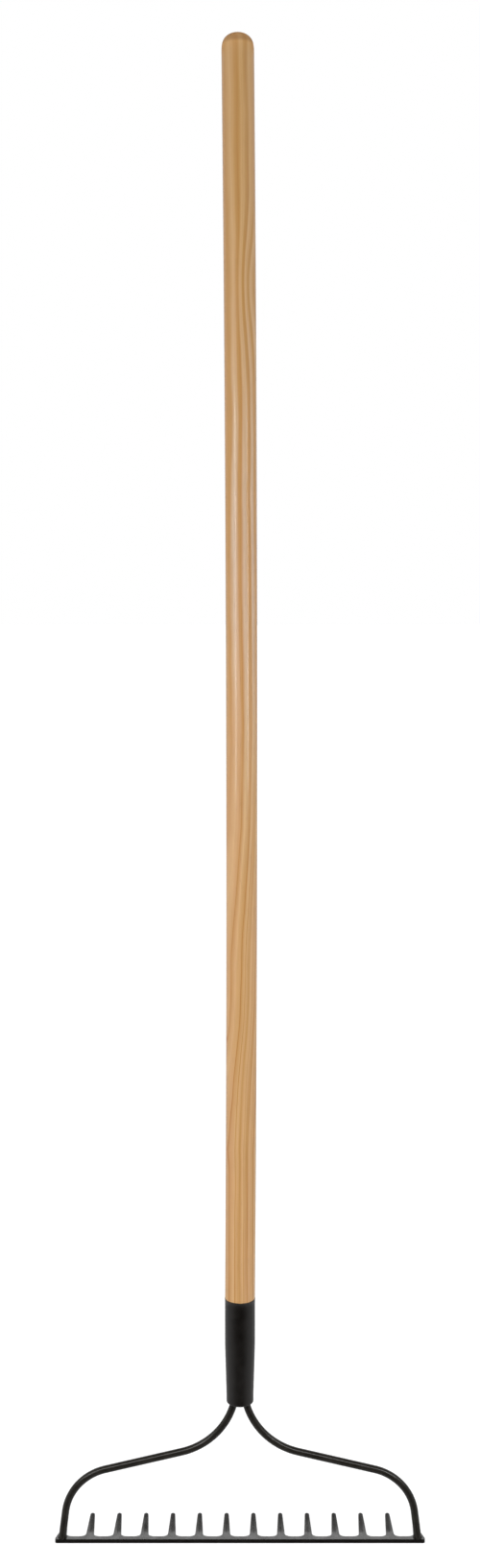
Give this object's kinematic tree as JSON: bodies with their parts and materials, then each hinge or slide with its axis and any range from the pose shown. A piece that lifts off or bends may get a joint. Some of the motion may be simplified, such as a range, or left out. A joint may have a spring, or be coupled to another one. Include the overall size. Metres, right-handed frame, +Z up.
{
  "type": "bow rake",
  "caption": "Garden bow rake: straight wooden handle, tapered steel ferrule, two bent round rods and a flat bar with short straight tines.",
  "frame": {"origin": "where the handle's axis meets the flat underside of the tine bar, halfway along the bar", "axes": "+Z up along the handle from the bar to the grip end, +X along the bar, +Y the way the tines point"},
  "size_m": [0.3978, 0.0615, 1.5536],
  "materials": {
    "handle_wood": "straight-grained ash under a thin satin lacquer",
    "ferrule_paint": "smooth semi-gloss black paint on steel tube",
    "rod_paint": "satin black paint on round steel rod",
    "bar_paint": "satin black paint on forged steel",
    "weld_paint": "satin black paint over a rippled weld bead",
    "weld_steel": "bare rippled weld bead",
    "pin_steel": "dull drive nail with a domed head"
  },
  "bodies": {
    "root": {"handle": "handle_wood", "ferrule": "ferrule_paint", "ferrule_pin": "pin_steel", "bow_rod_left": "rod_paint", "bow_rod_right": "rod_paint", "tine_bar": "bar_paint", "bow_weld_left": "weld_paint", "bow_weld_right": "weld_paint", "tang_weld_front": "weld_steel", "tang_weld_back": "weld_steel"}
  },
  "joints": []
}
